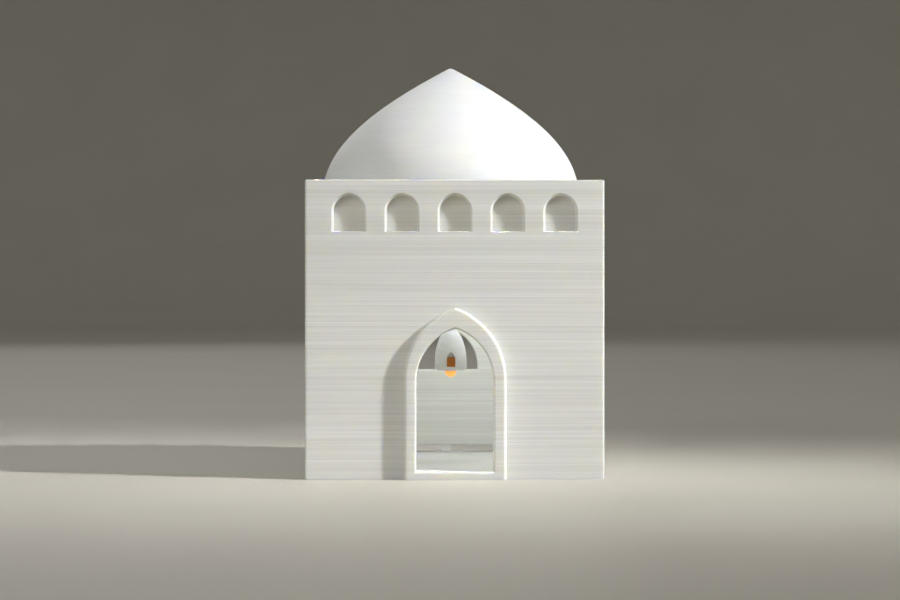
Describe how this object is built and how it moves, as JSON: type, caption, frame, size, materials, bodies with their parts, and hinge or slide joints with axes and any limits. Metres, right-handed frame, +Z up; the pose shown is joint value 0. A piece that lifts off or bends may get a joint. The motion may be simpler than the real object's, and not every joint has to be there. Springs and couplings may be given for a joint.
{
  "type": "miniature domed shrine lamp",
  "caption": "Small printed model of a domed shrine with an arched doorway through to an open hall, blind niches under the roof, a lift-off dome and a tiny hanging LED lamp.",
  "frame": {"origin": "middle of the square underside, in the plane of the table, on the dome's axis", "axes": "+Z up along the dome's axis, -Y out of the doorway, +X to the right of someone facing the doorway"},
  "size_m": [0.075, 0.077, 0.1074],
  "materials": {
    "body_print": "printed in fine horizontal layers, warm off-white, slightly translucent",
    "dome_print": "printed in fine horizontal layers, cool white, smooth",
    "roof_print": "printed in fine diagonal strokes, white",
    "shade_print": "printed, thin and translucent, white",
    "brass_wire": "drawn wire, satin",
    "brass_tube": "turned and drawn, satin",
    "screw_steel": "zinc plated",
    "tinned_steel": "tinned",
    "cell_steel": "bright nickel, fine circular brushing",
    "switch_steel": "folded plated sheet",
    "holder_plastic": "moulded, fine spark texture",
    "slider_plastic": "moulded",
    "resistor_lacquer": "lacquered, with plain colour bands",
    "red_insulation": "extruded, soft gloss",
    "black_insulation": "extruded, soft gloss",
    "white_insulation": "extruded, soft gloss",
    "led_epoxy": "diffused amber epoxy, lit"
  },
  "bodies": {
    "root": {"wall_shell": "body_print", "rear_panel": "body_print", "roof_plate": "roof_print", "roof_screws": "screw_steel", "locating_ring": "roof_print", "ceiling_rose": "roof_print", "ceiling_eye": "brass_wire", "battery_holder": "holder_plastic", "holder_screws": "screw_steel", "positive_clip": "tinned_steel", "negative_contact": "tinned_steel", "resistor": "resistor_lacquer", "resistor_legs": "tinned_steel", "switch_case": "switch_steel", "switch_terminals": "tinned_steel", "red_wire": "red_insulation", "black_wire": "black_insulation", "lamp_wires": "white_insulation"},
    "dome": {"dome": "dome_print"},
    "coin_cell": {"cell_can": "cell_steel", "cell_cap": "cell_steel"},
    "slider": {"switch_slider": "slider_plastic"},
    "link": {"hanging_link": "brass_wire"},
    "lamp": {"lamp_eye": "brass_wire", "lamp_stem": "brass_tube", "lamp_cap": "brass_tube", "lantern_shade": "shade_print", "led_lens": "led_epoxy", "led_legs": "tinned_steel"}
  },
  "joints": [
    {"name": "dome_lift", "type": "slide", "parent": "root", "child": "dome", "axis": [0, 0, 1], "range_m": [0, 0.04]},
    {"name": "cell_lift", "type": "slide", "parent": "root", "child": "coin_cell", "axis": [0, 0, 1], "range_m": [0, 0.008]},
    {"name": "switch_slide", "type": "slide", "parent": "root", "child": "slider", "axis": [-1, 0, 0], "range_m": [0, 0.002]},
    {"name": "link_swing", "type": "hinge", "parent": "root", "child": "link", "pos_m": [0, 0, 0.0662], "axis": [1, 0, 0], "range_deg": [-30, 30]},
    {"name": "lamp_swing", "type": "hinge", "parent": "link", "child": "lamp", "pos_m": [0, 0, 0.0641], "axis": [0, 1, 0], "range_deg": [-30, 30]}
  ]
}
